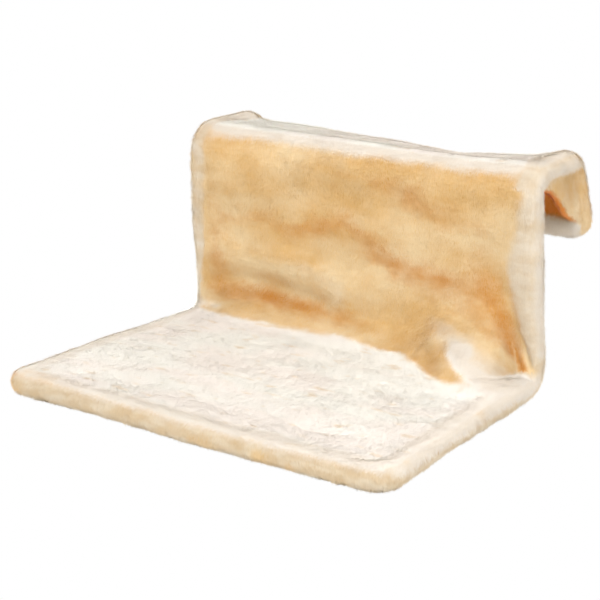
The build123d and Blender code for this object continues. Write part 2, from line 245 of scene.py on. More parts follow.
def plushGround(graph):
    values = {"Color": plushColour(graph), "Value": 0.94, "Saturation": 1.1}
    colour = graph.node("ShaderNodeHueSaturation", values)
    grain = stretchedNoise(graph, (700, 700, 700), 2.0, 0.6)
    return surfaceOf(graph, colour, 0.95, grain, strength=0.4, distance=0.001, specular=0.1)


def plushStrand(graph):
    value = graph.attribute("strand") * 0.07 + graph.attribute("along") * 0.07 + 0.87
    colour = graph.node("ShaderNodeHueSaturation", {"Color": plushColour(graph), "Value": value})
    return surfaceOf(graph, colour, 0.8, specular=0.15, **{"Sheen Weight": 0.2, "Sheen Roughness": 0.5})


# Woven lining, hook and loop tape, thread, and the metals of the frame

def wovenLining(graph):
    place = graph.node("ShaderNodeTexCoord", out="Object")
    values = {"Vector": place, "Scale": 330.0, "Distortion": 1.5, "Detail Scale": 4.0}
    warp = graph.node("ShaderNodeTexWave", values, "Fac", bands_direction="X")
    weft = graph.node("ShaderNodeTexWave", values, "Fac", bands_direction="DIAGONAL")
    weave = warp * 0.5 + weft * 0.5
    slub = stretchedNoise(graph, (30, 220, 220))
    colour = (weave * 0.5 + slub * 0.5).blend(shade(198, 182, 154), shade(226, 212, 186))
    return surfaceOf(graph, colour, 0.9, weave, strength=0.5, distance=0.0004, specular=0.15)


def closureTape(graph):
    loops = stretchedNoise(graph, (900, 900, 900), 2.0, 0.7)
    colour = loops.blend(shade(196, 184, 160), shade(232, 224, 204))
    return surfaceOf(graph, colour, 0.85, loops, strength=0.9, distance=0.0006)


def sewingThread(graph):
    twist = stretchedNoise(graph, (1500, 1500, 1500), 1.0)
    return surfaceOf(graph, twist.blend(shade(206, 188, 156), shade(236, 222, 196)), 0.7)


def powderCoat(graph):
    orange = stretchedNoise(graph, (900, 900, 900), 2.0)
    wear = stretchedNoise(graph, (40, 40, 40), 4.0)
    colour = wear.ramp(0.35, 0.7).blend(shade(232, 231, 226), shade(243, 242, 238))
    return surfaceOf(graph, colour, wear * 0.2 + 0.3, orange, strength=0.15, distance=0.0002)


def zincPlate(graph):
    drawn = stretchedNoise(graph, (40, 40, 900))
    patches = stretchedNoise(graph, (120, 120, 120), 3.0, 0.6, (1, 4, 2))
    colour = patches.blend(shade(178, 182, 188), shade(212, 214, 216))
    return surfaceOf(graph, colour, patches * 0.2 + 0.22, drawn, strength=0.08, distance=0.0001, Metallic=1.0)


def whiteFloor(graph):
    plain = graph.node("ShaderNodeBsdfDiffuse", {"Color": (0.9, 0.9, 0.9, 1)})
    white = graph.node("ShaderNodeEmission", {"Color": (1, 1, 1, 1), "Strength": 1.0})
    return whiteToCamera(graph, plain, white)


builds = (plushGround, plushStrand, wovenLining, closureTape, sewingThread, powderCoat, zincPlate, whiteFloor)
materials = {build.__name__: newMaterial(build) for build in builds}


# Mesh helpers

def newMesh(name, points, faces, material=None, edges=()):
    mesh = bpy.data.meshes.new(name)
    mesh.from_pydata([tuple(point) for point in points], edges, faces)
    if material:
        mesh.materials.append(material)
    return newObject(name, mesh)


# One row for each item of a mesh's collection
def rowsOf(items, field, width=3, kind=float):
    found = np.empty(len(items) * width, dtype=kind)
    items.foreach_get(field, found)
    return found.reshape(-1, width)


def setPoints(mesh, points):
    mesh.vertices.foreach_set("co", points.ravel())
    mesh.update()


def smoothShaded(made):
    made.data.polygons.foreach_set("use_smooth", [True] * len(made.data.polygons))


def store(mesh, name, values):
    kind, field = ("FLOAT_VECTOR", "vector") if values.ndim == 2 else ("FLOAT", "value")
    attribute = mesh.attributes.new(name, kind, "POINT")
    attribute.data.foreach_set(field, values.astype(np.float32).ravel())


# Turns an object and its modifiers into a plain mesh at the origin
def settle(made):
    bpy.context.view_layer.update()
    graph = bpy.context.evaluated_depsgraph_get()
    final = made.evaluated_get(graph)
    mesh = bpy.data.meshes.new_from_object(final, preserve_all_data_layers=True, depsgraph=graph)
    name = made.name
    bpy.data.objects.remove(made)
    return newObject(name, mesh)


# A tree of Geometry Nodes that takes an object's own mesh and one number
def newTree(name):
    tree = bpy.data.node_groups.new(name, "GeometryNodeTree")
    tree.interface.new_socket("Geometry", in_out="INPUT", socket_type="NodeSocketGeometry")
    tree.interface.new_socket("Number", in_out="INPUT", socket_type="NodeSocketFloat")
    tree.interface.new_socket("Geometry", in_out="OUTPUT", socket_type="NodeSocketGeometry")
    graph = Graph(tree)
    return graph, graph.node("NodeGroupInput")


def endTree(graph, instances, material):
    real = graph.node("GeometryNodeRealizeInstances", {"Geometry": instances})
    real = graph.node("GeometryNodeSetMaterial", {"Geometry": real, "Material": material})
    graph.node("NodeGroupOutput", {0: real})
    return graph.tree


def grow(made, tree, number):
    nodes = made.modifiers.new("grow", "NODES")
    nodes.node_group = tree
    nodes[tree.interface.items_tree["Number"].identifier] = number
    return settle(made)


def smoothstep(value, low, high):
    share = np.clip((value - low) / (high - low), 0, 1)
    return share * share * (3 - 2 * share)


# Even noise in -1 to 1 on a seeded lattice, the same on each run
def latticeNoise(points, cell, seed):
    place = np.asarray(points) / cell
    base = np.floor(place).astype(np.int64)
    part = place - base
    part = part * part * (3 - 2 * part)
    total = np.zeros(place.shape[:-1])
    for corner in np.ndindex(2, 2, 2):
        at = base + corner
        key = at[..., 0] * 73856093 ^ at[..., 1] * 19349663 ^ at[..., 2] * 83492791 ^ seed * 2654435761
        key = (key ^ key >> 13) * 1274126177 & 0xFFFFFFFF
        weight = np.prod(np.where(corner, part, 1 - part), axis=-1)
        total += weight * ((key >> 8 & 0xFFFF) / 0x7FFF - 1)
    return total


# A sum of noises, each as (stretch, cell, seed, height)
def layeredNoise(points, layers):
    return sum(latticeNoise(points * stretch, cell, seed) * height for stretch, cell, seed, height in layers)


def vectorNoise(points, cell, seed):
    return np.stack([latticeNoise(points, cell, seed + axis) for axis in range(3)], axis=1)


# The frame's outline. A path is a list of corners that are rounded by the tubes' bends

def roundedPath(corners, step):
    corners, radii = np.array(corners)[:, :3], np.array(corners)[:, 3]
    pieces = []
    for index, (corner, radius) in enumerate(zip(corners, radii)):
        before = corners[index - 1] - corner
        after = corners[(index + 1) % len(corners)] - corner
        before, after = before / norm(before), after / norm(after)
        half = np.arccos(np.clip(before @ after, -1, 1)) / 2
        middle = (before + after) / norm(before + after)
        centre = corner + middle * radius / sin(half)
        start, end = corner + before * radius / tan(half), corner + after * radius / tan(half)
        sweep = pi - 2 * half
        first, last = start - centre, end - centre
        turns = np.linspace(0, 1, 9)
        pieces.append([centre + (first * sin((1 - turn) * sweep) + last * sin(turn * sweep)) / sin(sweep)
                       for turn in turns])
    points = []
    for piece, following in zip(pieces, pieces[1:] + pieces[:1]):
        points.extend(piece)
        gap = following[0] - piece[-1]
        parts = max(int(norm(gap) / step), 1)
        points.extend(piece[-1] + gap * share for share in np.arange(1, parts) / parts)
    return np.array(points)


# The cloth's corners are tighter than the tubes' bends at the flap's lower ends and the seat's left front
flapCornerRadius = 0.004
leftFrontRadius = 0.008
rightCorners = [(hookHalf, hookY, hookZ, flapCornerRadius), (backHalf, hookY, topZ, bendRadius),
                (backHalf, backY, topZ, bendRadius), (seatHalf, backY, seatZ, bendRadius),
                (seatHalf, frontY, seatZ, bendRadius)]
leftCorners = [(-x, y, z, radius) for x, y, z, radius in reversed(rightCorners)]
leftCorners[0] = (-seatHalf, frontY, seatZ, leftFrontRadius)
rimPath = roundedPath(rightCorners + leftCorners, 0.005)


# Half width of the frame at a height on the back, or behind the radiator
def halfWidthAt(y, z):
    rise = np.clip((z - seatZ) / (topZ - seatZ), 0, 1)
    drop = np.clip((topZ - z) / (topZ - hookZ), 0, 1)
    front = seatHalf + (backHalf - seatHalf) * rise
    return np.where(y > (backY + hookY) / 2, backHalf + hookFlare * drop, front)


# Plush cover: a sheet over the seat, up the back and over the hook, joined to a rolled rim

pile = {"depth": 0.002, "length": 0.0052, "lengths": (0.75, 1.15), "halfWidth": 0.00024, "density": 1.5e6,
        "perPiece": 90000, "jitter": 0.46, "floorGap": 0.0012}

cover = {
    "rows": {"seat": 116, "corner": 30, "back": 66, "topBend": 12, "top": 22, "hookBend": 12, "flap": 24},
    "columns": 176, "thickness": 0.005, "voxel": 0.0022, "sheetHeight": 0.0132 - pile["depth"],
    "cornerPlaces": (-1.0, -0.94, -0.8, -0.5, -0.1, 0.3, 0.6, 0.78, 0.88, 0.95, 1.0),
    "cornerRadii": (0.012, 0.016, 0.028, 0.036, 0.041, 0.047, 0.07, 0.084, 0.066, 0.022, 0.012),
    "sagPlaces": (-1.0, -0.94, -0.854, -0.68, -0.41, -0.02, 0.226, 0.407, 0.628, 0.849, 0.955, 1.0),
    "sagShares": (0.0, 0.28, 0.46, 0.53, 0.58, 0.765, 0.89, 1.0, 0.785, 0.4, 0.125, 0.0),
    "topSag": 0.0188, "seatDip": 0.0035, "backSag": 0.0035,
    "seatRows": (0.02, 0.2, 0.75, 1.1), "backRows": (1.9, 2.4, 2.6, 3.0),
    "sagRows": (3.6, 4.0, 4.5, 5.0, 5.5, 6.0, 6.9), "sagRowShares": (0, 0.15, 0.6, 0.86, 0.74, 0.42, 0),
    "noiseRows": (0, 1, 2, 3, 4, 6), "noiseShares": (0.2, 0.4, 0.6, 0.6, 0.2, 0.7), "noiseEdge": 0.08,
    "noise": (((1, 2.2, 2.2), 0.06, 11, 0.0022), ((1, 2, 2), 0.026, 12, 0.0011), (1, 0.01, 13, 0.0004)),
    "relaxed": 8,
}


# The tables below are in millimetres, and their shares have no unit
def inMetres(ways, units=1000):
    return {name: np.array(way) / units for name, way in ways.items()}


# Folds, as (x, distance along the sheet from the inner corner, height, half widths to the left and right)
folds = inMetres({
    "cornerRidge": ((207, -80, 2, 10, 20), (185, -56, 9, 15, 30), (150, -28, 12, 20, 34),
        (122, 4, 8, 27, 34), (110, 34, 2, 30, 30), (104, 62, 0, 30, 30)),
    "sideValley": ((206, -4, -7, 12, 6), (198, 16, -7, 14, 7), (188, 36, -6, 17, 8), (180, 62, -4, 20, 10),
        (168, 94, -1, 22, 14)),
    "leftValley": ((-196, 32, -4, 12, 12), (-130, 36, -8, 12, 12), (-60, 26, -7, 13, 13),
        (0, 12, -2, 14, 14)),
    "leftBulge": ((-180, 66, 2, 16, 16), (-110, 66, 6, 18, 18), (-30, 52, 6, 20, 20), (50, 40, 2, 20, 20)),
    "backWave": ((-150, 134, 1, 18, 18), (-60, 122, 3, 18, 18), (60, 118, 3, 18, 18),
        (150, 126, 1, 18, 18)),
    "seatWrinkle": ((60, -215, -0.6, 5, 5), (105, -222, -1.4, 5, 5), (165, -205, -0.6, 5, 5)),
    "frontWrinkle": ((150, -262, -1, 5, 5), (185, -268, -3, 5, 5), (196, -250, -1, 5, 5)),
})

# Creases pressed into the finished cover, as (x, y, z, depth, width)
creases = inMetres({
    "side": ((216.5, 78, 26, 3, 4), (213, 81, 34, 8, 4), (204.5, 83, 48, 8, 5), (192.5, 82, 70, 5, 7),
        (183.5, 84, 97, 3, 10), (170.7, 84, 130, 0, 12)),
    "seat": ((218, 70, 24.5, 0.5, 5), (206.5, 45, 26.5, 1.2, 5), (197.5, 18, 26.5, 0.8, 6),
        (193.7, 6, 26.5, 0, 6)),
    "front": ((196.2, -204, 24, 0, 4), (209.2, -189, 26.5, 2, 4), (220.4, -215, 14, 1, 5)),
})

# Where the cloth hangs away from the frame's line, as (x, y, z, radius, move in x, y and z)
nudges = np.array((
    (-222, 92, 40, 50, 12, 0, -2), (-216, 20, 20, 70, 1, 0, -6), (-220, -203, 14, 30, -5, -1, 0),
    (-208, 90, 212, 40, -3, 0, 1), (20, -205, 8, 80, 0, -2, -1.5), (130, -205, 8, 70, 0, -2, -1.5),
    (220, 50, 12, 60, 2, 0, -1), (222, 205, 165, 40, 5, 2, 0),
)) / 1000

# Where the cream of the right rim begins on the back, as x by height. It follows the side crease
rightEdge = inMetres({"z": (27, 48, 70, 97, 130, 165, 210),
                      "x": (214, 204, 192.5, 183.5, 179, 183, 187)})

# Tones painted on the seat and back, as (x, height less distance before the back, share, width). Depths are
# painted shade in hollows, creases and folds, tans a painted shade on the fold's left flank and a tan patch
# at the front left, and the pale table painted highlight where the cloth faces up to the light
toneUnits = (1000, 1000, 1, 1000)
depths = inMetres({
    "corner": ((-196, 20, 0.25, 14), (-152, 24, 0.7, 16), (-110, 26, 0.75, 17), (-60, 24, 0.65, 17),
        (-10, 16, 0.45, 18), (30, 10, 0.15, 18)),
    "side": ((150, 106, 0.2, 22), (168, 74, 0.5, 18), (180, 46, 0.7, 14), (194, 22, 0.9, 10),
        (206, 5, 0.95, 6), (213, -8, 0.6, 4)),
    "flank": ((110, 72, 0.2, 26), (145, 50, 0.25, 18), (172, 16, 0.25, 14), (196, -10, 0.15, 10)),
    "upperWave": ((-30, 182, 0, 12), (30, 176, 0.3, 13), (70, 166, 0.45, 14), (110, 150, 0.35, 14),
        (155, 143, 0.15, 14)),
    "midWave": ((-165, 112, 0.2, 11), (-110, 118, 0.3, 11), (-76, 108, 0.4, 12), (-36, 118, 0.55, 12),
        (-6, 128, 0.45, 14), (26, 103, 0.55, 15), (56, 90, 0.6, 15), (110, 84, 0.45, 15),
        (150, 78, 0.25, 15)),
    "leftSide": ((-184, 150, 0.05, 12), (-180, 90, 0.3, 13), (-176, 45, 0.45, 13)),
}, toneUnits)
tans = inMetres({
    "fold": ((78, 10, 0.35, 12), (92, -3, 0.55, 11), (124, -26, 0.68, 10), (160, -54, 0.66, 8),
        (188, -68, 0.4, 7), (200, -72, 0.1, 5)),
    "frontLeft": ((-206, -276, 0.25, 12), (-170, -280, 0.25, 10)),
}, toneUnits)
paintedHighlights = inMetres({
    "tent": ((106, 32, 0.22, 12), (124, 18, 0.46, 17), (148, -2, 0.58, 21), (178, -28, 0.62, 24),
        (206, -46, 0.66, 24)),
    "leftFoot": ((-200, 2, 0.55, 10), (-172, -2, 0.45, 8)),
    "lightBand": ((-115, 74, 0.1, 16), (-60, 68, 0.22, 18), (-14, 46, 0.26, 18)),
}, toneUnits)


def alongPlaces(values, places, across):
    raw = np.interp(across, places, values)
    kernel = np.exp(-np.linspace(-2, 2, 11) ** 2)
    padded = np.pad(raw, 5, mode="edge")
    return np.convolve(padded, kernel / kernel.sum(), mode="valid")


# What a fold adds at each point of the sheet, from the nearest place on the fold's way. Legs of the way blend
legBlend = 0.005


def foldHeight(x, distance, way):
    legs = []
    for first, second in zip(way, way[1:]):
        leg = second[:2] - first[:2]
        share = (x - first[0]) * leg[0] + (distance - first[1]) * leg[1]
        share = np.clip(share / (leg @ leg), 0, 1)
        aside, along = x - first[0] - leg[0] * share, distance - first[1] - leg[1] * share
        gap = np.hypot(aside, along)
        values = [start + (end - start) * share for start, end in zip(first[2:], second[2:])]
        toRight = smoothstep(aside / np.maximum(gap, 1e-6), -0.6, 0.6)
        width = values[1] + (values[-1] - values[1]) * toRight
        legs.append((gap, values[0] * np.exp(-(gap / width) ** 2)))
    nearest = np.min([gap for gap, height in legs], axis=0)
    weights = [np.exp((nearest - gap) / legBlend) for gap, height in legs]
    return sum(weight * height for weight, (gap, height) in zip(weights, legs)) / sum(weights)


# One side profile of the sheet's outer surface, with the section that each row is in
def sheetProfile(cornerRadius, height):
    cornerY, cornerZ = backY - height - cornerRadius, seatZ + height + cornerRadius
    bend = bendRadius + height
    points = []

    def shares(name):
        return np.arange(cover["rows"][name]) / cover["rows"][name]

    def line(name, start, end):
        start, end = np.array(start), np.array(end)
        points.extend(start + (end - start) * share for share in shares(name))

    def arc(name, centre, radius, first, last):
        for share in shares(name):
            angle = radians(first + (last - first) * share)
            points.append((centre[0] + radius * cos(angle), centre[1] + radius * sin(angle)))

    line("seat", (frontY, seatZ + height), (cornerY, seatZ + height))
    arc("corner", (cornerY, cornerZ), cornerRadius, -90, 0)
    line("back", (backY - height, cornerZ), (backY - height, topZ - bendRadius))
    arc("topBend", (backY + bendRadius, topZ - bendRadius), bend, 180, 90)
    line("top", (backY + bendRadius, topZ + height), (hookY - bendRadius, topZ + height))
    arc("hookBend", (hookY - bendRadius, topZ - bendRadius), bend, 90, 0)
    line("flap", (hookY + height, topZ - bendRadius), (hookY + height, hookZ))
    return points


def sectionOf():
    counts = enumerate(cover["rows"].values())
    return np.concatenate([index + np.arange(count) / count for index, count in counts])


def gridNormals(grid):
    alongRows = np.gradient(grid, axis=0)
    alongColumns = np.gradient(grid, axis=1)
    normal = np.cross(alongColumns, alongRows)
    return normal / norm(normal, axis=2, keepdims=True)


# The border of a grid, once round
def borderOf(grid):
    return [*grid[0, :], *grid[1:, -1], *grid[-1, -2::-1], *grid[-2:0:-1, 0]]


# Rises from 0 to 1 between the first two marks and falls back between the last two
def plateau(value, low, full, last, high):
    return smoothstep(value, low, full) * (1 - smoothstep(value, last, high))


# Outer surface of the sheet, as a grid of rows by columns, with its folds
def sheetGrid():
    across = np.linspace(-1, 1, cover["columns"])
    radii = alongPlaces(cover["cornerRadii"], cover["cornerPlaces"], across)
    profile = np.array([sheetProfile(radius, cover["sheetHeight"]) for radius in radii]).transpose(1, 0, 2)
    y, z = profile[..., 0], profile[..., 1]
    x = across * halfWidthAt(y, z)
    grid = np.stack([x, y, z], axis=2)
    normal = gridNormals(grid)
    marks = sectionOf()
    steps = norm(np.diff(grid, axis=0), axis=2)
    travelled = np.vstack([np.zeros(len(across)), np.cumsum(steps, axis=0)])
    cornerRow = cover["rows"]["seat"] + cover["rows"]["corner"] // 2
    distance = travelled - travelled[cornerRow]
    hollow = (1 - across ** 4)[None, :]
    sagAcross = alongPlaces(cover["sagShares"], cover["sagPlaces"], across)[None, :]
    seatShare = plateau(marks, *cover["seatRows"])[:, None]
    backShare = plateau(marks, *cover["backRows"])[:, None]
    sagShare = np.interp(marks, cover["sagRows"], cover["sagRowShares"])[:, None]
    lift = -cover["seatDip"] * seatShare * hollow - cover["backSag"] * backShare * hollow
    lift = lift - cover["topSag"] * sagShare * sagAcross
    for way in folds.values():
        lift = lift + foldHeight(x, distance, way)
    edge = smoothstep(1 - np.abs(across), 0.0, cover["noiseEdge"])[None, :]
    noiseShare = np.interp(marks, cover["noiseRows"], cover["noiseShares"])[:, None]
    lift = lift + layeredNoise(grid, cover["noise"]) * edge * noiseShare
    return grid + normal * lift[..., None]


def slabMesh(name, outer, thickness):
    inner = outer - gridNormals(outer) * thickness
    rows, columns = outer.shape[:2]
    points = np.concatenate([outer.reshape(-1, 3), inner.reshape(-1, 3)])
    index = np.arange(rows * columns).reshape(rows, columns)
    below = rows * columns
    faces = []
    for row in range(rows - 1):
        for column in range(columns - 1):
            a, b = index[row, column], index[row, column + 1]
            c, d = index[row + 1, column + 1], index[row + 1, column]
            faces.append((a, b, c, d))
            faces.append((d + below, c + below, b + below, a + below))
    border = borderOf(index)
    for first, second in zip(border, border[1:] + border[:1]):
        faces.append((second, first, first + below, second + below))
    return newMesh(name, points, faces)


# The rolled rim as one closed roll round the whole frame
rimNoise = ((1, 0.045, 21, 0.07), (1, 0.018, 22, 0.035))


def rimMesh():
    radius = rimRadius - pile["depth"]
    data = bpy.data.curves.new("rimRoll", "CURVE")
    data.dimensions = "3D"
    data.bevel_depth, data.bevel_resolution = radius, 6
    spline = data.splines.new("POLY")
    spline.points.add(len(rimPath) - 1)
    for point, place, swell in zip(spline.points, rimPath, layeredNoise(rimPath, rimNoise)):
        point.co = (*place, 1)
        point.radius = 1 + swell
    spline.use_cyclic_u = True
    return settle(newObject("rimRoll", data))


# Gathered plush that fills the corner between a top leg and the hook's leg
web = {"inner": -0.003, "outer": 0.0085, "start": 0.016, "corner": 0.012, "foot": 0.008,
       "way": ((0.008, -0.01), (0.03, -0.018), (0.048, -0.03), (0.062, -0.046), (0.08, -0.058))}


def webMesh(side):
    outline = [(backY + along, topZ + drop) for along, drop in web["way"]]
    outline += [(hookY, hookZ + web["foot"]), (hookY, topZ - web["corner"]), (hookY - web["corner"], topZ),
                (backY + web["start"], topZ)]
    count = len(outline)
    points = [(side * (halfWidthAt(hookY, z) + web[face]), y, z) for face in ("inner", "outer")
              for y, z in outline]
    faces = [tuple(range(count)), tuple(range(2 * count - 1, count - 1, -1))]
    for index in range(count):
        following = (index + 1) % count
        faces.append((following, index, index + count, following + count))
    if side > 0:
        faces = [face[::-1] for face in faces]
    return newMesh("webSide", points, faces)


# Behind the radiator the flap is plush on both sides, so it is filled up to its inner face
flap = {"thickness": 0.0119, "outer": 0.004, "across": 0.97, "columns": 60, "rows": 24, "topShare": 0.6,
        "lean": 0.008, "leanLow": 0.045, "leanHigh": 0.005}


def flapFill():
    across = np.linspace(-flap["across"], flap["across"], flap["columns"])
    heights = np.linspace(topZ - bendRadius * flap["topShare"], hookZ, flap["rows"])
    grid = np.array([[(share * halfWidthAt(hookY, z), hookY + flap["outer"], z) for share in across]
                     for z in heights])
    sagAcross = np.interp(across, cover["sagPlaces"], cover["sagShares"])
    lean = smoothstep(heights, topZ - flap["leanLow"], topZ - flap["leanHigh"])
    grid[..., 1] -= flap["lean"] * lean[:, None] * sagAcross[None, :]
    return slabMesh("flapFill", grid, flap["thickness"])


def joinMeshes(name, objects):
    points, faces, start = [], [], 0
    for part in objects:
        points.extend(tuple(vertex.co) for vertex in part.data.vertices)
        faces.extend(tuple(start + i for i in face.vertices) for face in part.data.polygons)
        start = len(points)
        bpy.data.objects.remove(part)
    return newMesh(name, points, faces, materials["plushGround"])


# Smooths a mesh by moving each point towards the middle of its neighbours
def relax(mesh, times, share=0.5):
    points = rowsOf(mesh.vertices, "co")
    edges = rowsOf(mesh.edges, "vertices", 2, np.int64)
    counts = np.bincount(edges.ravel(), minlength=len(points))[:, None]
    for turn in range(times):
        sums = np.zeros_like(points)
        np.add.at(sums, edges[:, 0], points[edges[:, 1]])
        np.add.at(sums, edges[:, 1], points[edges[:, 0]])
        points += (sums / counts - points) * share
    setPoints(mesh, points)


def distanceToRim(points):
    found = np.full(len(points), np.inf)
    for first in range(0, len(rimPath), 40):
        stretch = rimPath[first:first + 40]
        gaps = norm(points[:, None, :] - stretch[None], axis=2).min(axis=1)
        found = np.minimum(found, gaps)
    return found


# How deep a crease is at each point
def creaseDepth(points, way):
    sunk = np.zeros(len(points))
    nearest = np.full(len(points), np.inf)
    for first, second in zip(way, way[1:]):
        leg = second[:3] - first[:3]
        share = np.clip((points - first[:3]) @ leg / (leg @ leg), 0, 1)
        gap = norm(points - first[:3] - leg * share[:, None], axis=1)
        depth, width = [start + (end - start) * share for start, end in zip(first[3:], second[3:])]
        sunk = np.where(gap < nearest, depth * np.exp(-(gap / width) ** 2), sunk)
        nearest = np.minimum(gap, nearest)
    return sunk


# Presses the creases into the faces that look up or to the front, and moves the cloth where it hangs away
# from the frame. A move down fades out towards the floor
def sculpt(mesh):
    points, normals = rowsOf(mesh.vertices, "co"), rowsOf(mesh.vertex_normals, "vector")
    sunk = sum(creaseDepth(points, way) for way in creases.values())
    outer = normals[:, 2] * 0.8 - normals[:, 1] * 0.6 > 0
    points -= normals * (sunk * outer)[:, None]
    raised = np.clip(points[:, 2] / (2 * rimRadius), 0, 1)
    for x, y, z, radius, *move in nudges:
        share = np.exp(-np.sum((points - (x, y, z)) ** 2, axis=1) / radius ** 2)
        moved = share[:, None] * np.array(move)
        moved[:, 2] *= raised
        points += moved
    points[:, 2] = np.maximum(points[:, 2], pile["floorGap"])
    setPoints(mesh, points)


def plushCover():
    sheet = slabMesh("sheet", sheetGrid(), cover["thickness"])
    made = joinMeshes("plushCover", [sheet, rimMesh(), webMesh(-1), webMesh(1), flapFill()])
    remesh = made.modifiers.new("merge", "REMESH")
    remesh.mode, remesh.voxel_size = "VOXEL", cover["voxel"]
    made = settle(made)
    relax(made.data, cover["relaxed"])
    sculpt(made.data)
    relax(made.data, 1)
    smoothShaded(made)
    return made


# Where the pile's painted light and painted shade, and its tones, change. A pair is where something begins
# and where it is full
lay = {
    "edgeNoise": ((1, 0.03, 61, 0.003), (1, 0.011, 62, 0.0015)), "rim": (0.0115, 0.021),
    "spread": 0.008, "spreadHeights": (0.09, 0.19), "creaseBefore": 0.005, "creaseAfter": 0.01,
    "frontX": 0.15, "frontZ": 0.027, "frontTop": 0.01, "frontSide": 0.6, "high": (-0.06, -0.03),
    "ragged": ((1, 0.014, 63, 0.018), (1, 0.005, 64, 0.012)),
    "flap": 0.27, "flapFacing": (0.2, 0.8), "flapNoise": ((1, 0.035, 65, 0.15),),
    "rimHeight": 0.03, "seatRim": 0.24, "seatRimFront": 0.4, "seatRimTop": 0.56, "backRim": 0.4,
    "backRimSide": 0.2, "rimBelow": 0.3, "tentDull": 0.45, "webDepth": -0.4, "webPaintedLight": 0.2,
    "recess": (0.002, 0.015), "recessDepths": (-0.5, 1.6), "recessPaintedLight": 0.7, "depths": (-1, 1.6),
}


# Painted light and painted shade for the shader: how pale each point is painted as it faces up to the light,
# and how deep its painted shade is. Returns where the cover is rim
def markTones(mesh, points, normals):
    x, y, z = points.T
    upward, frontward, sideward = normals[:, 2], -normals[:, 1], np.abs(normals[:, 0])
    edgeNoise = layeredNoise(points, lay["edgeNoise"])
    rim = 1 - smoothstep(distanceToRim(points) + edgeNoise, *lay["rim"])
    beyond = x - np.interp(z, rightEdge["z"], rightEdge["x"]) + edgeNoise
    spread = lay["spread"] * smoothstep(z, *lay["spreadHeights"])
    creaseSide = smoothstep(beyond, -lay["creaseBefore"] - spread, lay["creaseAfter"] + spread)
    onFront = (x > lay["frontX"]) & (y < backY) & (z > lay["frontZ"]) & (z < topZ - lay["frontTop"])
    rim = np.where(onFront & (normals[:, 0] < lay["frontSide"]), creaseSide, rim)
    # Painted light: paler where the surface faces up, with a ragged edge, and more so near the top
    high = smoothstep(z - topZ, *lay["high"])
    ragged = upward + layeredNoise(points, lay["ragged"])
    lie = smoothstep(ragged, 0.8 - 0.42 * high, 1.0 - 0.05 * high) * (1 - 0.15 * high)
    onFlap = smoothstep(normals[:, 1], *lay["flapFacing"]) * (y > hookY)
    lie = np.maximum(lie, onFlap * (lay["flap"] + layeredNoise(points, lay["flapNoise"])))
    # The rims are painted by how they face the light: paler on top, tan to the front, and with painted shade
    # where they face down
    facingFront = smoothstep(frontward, 0.1, 0.8)
    onSeat = lay["seatRim"] + lay["seatRimFront"] * facingFront * smoothstep(upward, 0.55, 0.95)
    onSeat += lay["seatRimTop"] * (1 - facingFront) * smoothstep(upward, -0.1, 0.5)
    onBack = lay["backRim"] + lay["backRimSide"] * smoothstep(sideward, 0.45, 0.95)
    atSeat = z < seatZ + lay["rimHeight"]
    onRim = np.where(atSeat, onSeat, onBack) - lay["rimBelow"] * smoothstep(-upward, 0.3, 0.9)
    lie = lie * (1 - rim) + np.maximum(lie * 0.85 * (1 - facingFront), onRim) * rim
    # Painted shade: the rims are painted duller as they turn from the top, and so is the top's front edge
    turnedDown = 0.3 + 0.7 * smoothstep(1 - upward, 0.1, 0.35)
    paintedDullShade = rim * np.where(atSeat, turnedDown, np.where(y > hookY - 0.02, 1.0, 0.85))
    paintedDullShade = np.maximum(paintedDullShade, 0.5 * high * smoothstep(frontward, 0.1, 0.45) * smoothstep(upward, 0.1, 0.4))
    # Painted shade from the depth tables, a painted tan shade on the fold's flank, and painted highlight on
    # the tent and light bands
    way = (z - seatZ) - (backY - y)
    before = (y < backY + 0.01) & (frontward + upward > 0)
    depth, tanTone, paintedHighlight = [sum(foldHeight(x, way, place) for place in tones.values()) * before
                             for tones in (depths, tans, paintedHighlights)]
    # Painted shade in the side crease beside the right rim
    depth = depth * (1 - 0.8 * rim) + creaseDepth(points, creases["side"]) / 0.006 * 0.8
    lie = np.clip(lie * (1 - 0.5 * np.clip(depth, 0, 1)) * (1 - np.clip(tanTone, 0, 1)) + paintedHighlight, 0, 1)
    tent = np.clip(foldHeight(x, way, paintedHighlights["tent"]) * before, 0, lay["tentDull"])
    depth = depth * (1 - np.clip(paintedHighlight, 0, 1)) - np.maximum(paintedDullShade, tent)
    # Painted shade in the hook's recess, deepest above its foot and paler at the foot, and the web painted
    # the tan of shade
    inside = (y > backY + 0.02) & (normals[:, 1] < 0.1) & (z < topZ - 0.004)
    onWeb = inside & (sideward > 0.6) & (normals[:, 0] * x > 0)
    inRecess = smoothstep(z - hookZ, *lay["recess"])
    recessDepth = np.interp(inRecess, (0, 1), lay["recessDepths"])
    depth = np.where(onWeb, lay["webDepth"], np.where(inside, recessDepth, depth))
    lie = np.where(onWeb, lay["webPaintedLight"], np.where(inside, lay["recessPaintedLight"] * (1 - inRecess), lie))
    store(mesh, "lie", lie)
    store(mesh, "shadeDepth", np.clip(depth, *lay["depths"]))
    return rim


# The strands lean to the front on the top and seat, and down elsewhere. None stands under a lining
combing = {"onTop": (0.4, 0.8), "flowTop": (0.1, -1.6, 0.0), "flowSide": (0.25, -0.15, -1.3), "swirl": 0.034,
           "tuft": 0.0085, "length": ((1, 0.007, 51, 0.18), (1, 0.02, 52, 0.12)), "flatter": 0.6,
           "creased": 0.6, "creaseDepth": 0.004, "coveredIn": 0.013, "facing": 0.3}


